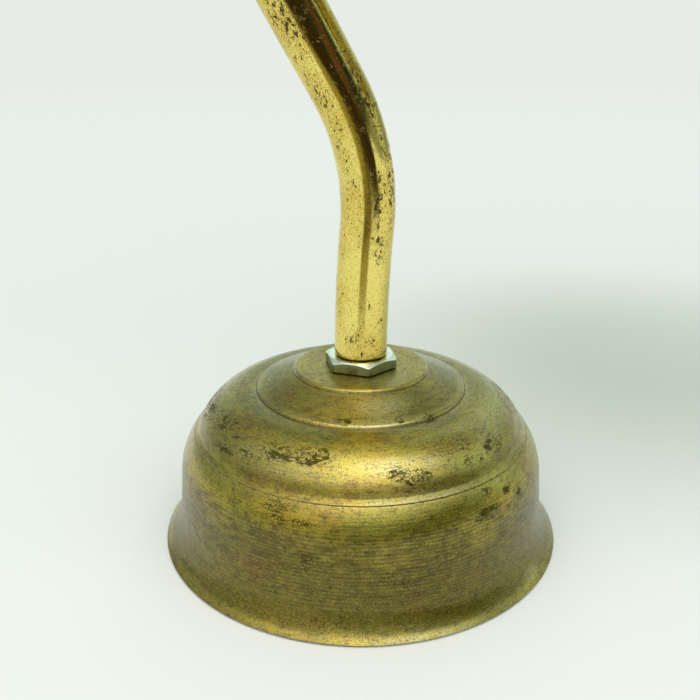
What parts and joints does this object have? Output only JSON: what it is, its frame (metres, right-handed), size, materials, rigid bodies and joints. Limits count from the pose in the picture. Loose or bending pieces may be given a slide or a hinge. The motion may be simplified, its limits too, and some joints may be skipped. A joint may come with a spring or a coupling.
{
  "type": "wall lamp",
  "caption": "Gooseneck wall lamp: spun stepped wall cup, hex-nut swivel, bent tube arm, lampholder with a turn-key switch, bell shade and globe bulb.",
  "frame": {"origin": "centre of the wall cup's rim, in the plane of the wall, midway between the two wall screws", "axes": "+Z along the cup's axis, away from the wall; -X up the wall, so the shade opens towards +X; the wall screws lie along Y"},
  "size_m": [0.2113, 0.146, 0.2891],
  "materials": {
    "aged_brass": "spun brass, dull and stained, with fine spinning lines",
    "bright_brass": "bright brass tube with small dark pits",
    "plain_brass": "turned brass",
    "zinc_steel": "bright zinc plate on steel",
    "porcelain": "glazed white porcelain",
    "bakelite": "dark brown moulded bakelite",
    "pale_plastic": "pale moulded plastic",
    "flex_sheath": "black round flex",
    "core_insulation": "coloured core insulation",
    "fibre_liner": "red vulcanised fibre",
    "bronze_spring": "phosphor bronze strip",
    "nickel": "nickel plate",
    "black_glass": "black vitrite glass",
    "clear_glass": "clear glass",
    "filament": "coated filament rods on wire"
  },
  "bodies": {
    "wall_base": {"wall_cup": "aged_brass", "mounting_bar": "zinc_steel", "stem_nipple": "plain_brass", "clamp_nut": "zinc_steel", "bar_nuts": "zinc_steel", "tooth_washer": "zinc_steel", "end_bush": "pale_plastic", "terminal_block": "porcelain", "terminal_sleeves": "plain_brass", "terminal_screws": "plain_brass", "block_screw": "zinc_steel", "earth_screw": "plain_brass", "earth_lug": "zinc_steel", "cup_flex": "flex_sheath", "cup_cores": "core_insulation"},
    "arm": {"arm_tube": "bright_brass", "arm_flex": "flex_sheath", "head_nipple": "plain_brass", "head_nut": "zinc_steel", "holder_cap": "aged_brass", "grub_screw": "zinc_steel", "holder_insert": "porcelain", "holder_terminals": "plain_brass", "holder_cores": "core_insulation", "screw_contact": "plain_brass", "centre_contact": "bronze_spring", "insulating_liner": "fibre_liner", "holder_shell": "aged_brass", "upper_shade_ring": "bakelite", "lower_shade_ring": "bakelite", "shade": "aged_brass", "switch_bush": "plain_brass"},
    "switch": {"switch_spindle": "zinc_steel", "switch_cam": "pale_plastic", "switch_key": "bakelite"},
    "bulb": {"bulb_cap": "nickel", "bulb_insulator": "black_glass", "bulb_contact": "nickel", "bulb_glass": "clear_glass", "bulb_stem": "clear_glass", "bulb_filament": "filament"}
  },
  "joints": [
    {"name": "arm_swing", "type": "hinge", "parent": "wall_base", "child": "arm", "pos_m": [0, 0, 0.0476], "axis": [0, 0, 1], "range_deg": [-170, 170]},
    {"name": "switch_turn", "type": "hinge", "parent": "arm", "child": "switch", "pos_m": [0.06627, 0, 0.21611], "axis": [0, -1, 0], "continuous": true},
    {"name": "bulb_out", "type": "slide", "parent": "arm", "child": "bulb", "axis": [1, 0, 0], "range_m": [0, 0.08]}
  ]
}
